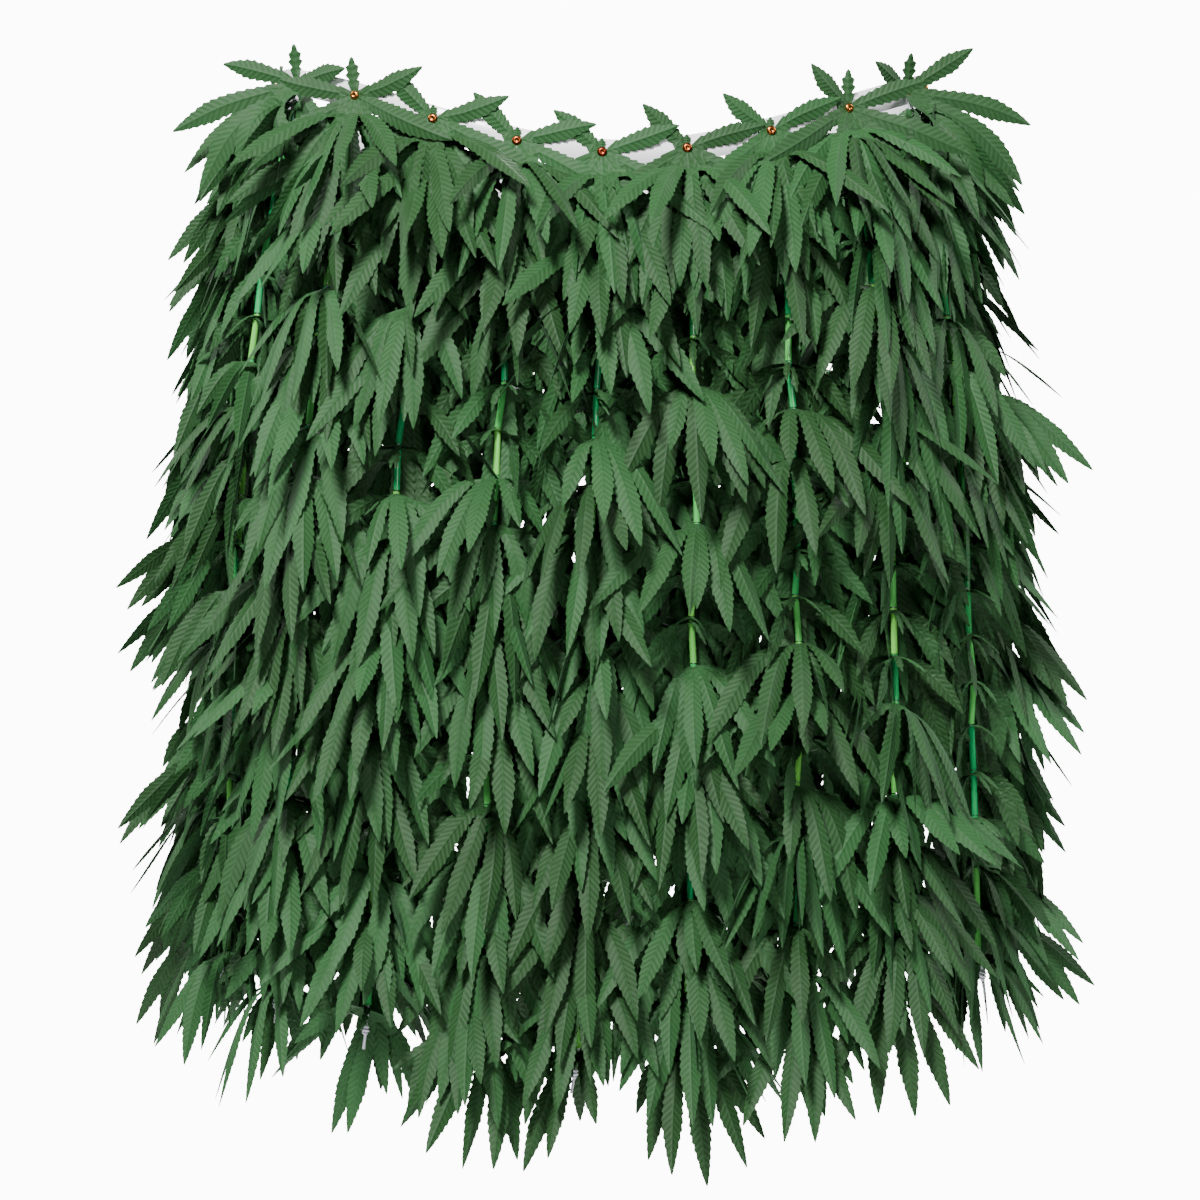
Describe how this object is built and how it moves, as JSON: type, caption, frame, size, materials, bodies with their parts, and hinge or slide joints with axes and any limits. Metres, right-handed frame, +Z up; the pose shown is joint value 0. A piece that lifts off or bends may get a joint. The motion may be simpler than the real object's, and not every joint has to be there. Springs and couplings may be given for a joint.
{
  "type": "hula skirt of green cloth leaves",
  "caption": "Green hula skirt of serrated cloth leaves threaded with plastic tubes on strings, hung from a riveted white waist tape.",
  "frame": {"origin": "the middle of the waist opening, level with the tape's middle line at the two sides of the hips", "axes": "+Z is up as worn, the front faces -Y, and +X is on the right of someone looking at the front"},
  "size_m": [0.5897, 0.38, 0.6915],
  "materials": {
    "leaf_cloth": "satin woven cloth with embossed veins and a serrated edge",
    "tube_green": "glossy translucent green tube",
    "string_white": "matte twisted cord",
    "waist_tape": "smooth glossy white tape with a faint lavender sheen",
    "rivet_copper": "polished copper colour",
    "hook_and_loop": "matte brushed nylon"
  },
  "bodies": {
    "root": {"waistband": "waist_tape", "closure_hook": "hook_and_loop", "closure_loop": "hook_and_loop", "strand_01": "leaf_cloth", "rivet_01": "rivet_copper", "strand_02": "leaf_cloth", "rivet_02": "rivet_copper", "strand_03": "leaf_cloth", "rivet_03": "rivet_copper", "strand_04": "leaf_cloth", "rivet_04": "rivet_copper", "strand_05": "leaf_cloth", "rivet_05": "rivet_copper", "strand_06": "leaf_cloth", "rivet_06": "rivet_copper", "strand_07": "leaf_cloth", "rivet_07": "rivet_copper", "strand_08": "leaf_cloth", "rivet_08": "rivet_copper", "strand_09": "leaf_cloth", "rivet_09": "rivet_copper", "strand_10": "leaf_cloth", "rivet_10": "rivet_copper", "strand_11": "leaf_cloth", "rivet_11": "rivet_copper", "strand_12": "leaf_cloth", "rivet_12": "rivet_copper", "strand_13": "leaf_cloth", "rivet_13": "rivet_copper", "strand_14": "leaf_cloth", "rivet_14": "rivet_copper", "strand_15": "leaf_cloth", "rivet_15": "rivet_copper", "strand_16": "leaf_cloth", "rivet_16": "rivet_copper", "strand_17": "leaf_cloth", "rivet_17": "rivet_copper", "strand_18": "leaf_cloth", "rivet_18": "rivet_copper", "strand_19": "leaf_cloth", "rivet_19": "rivet_copper", "strand_20": "leaf_cloth", "rivet_20": "rivet_copper", "strand_21": "leaf_cloth", "rivet_21": "rivet_copper"}
  },
  "joints": []
}
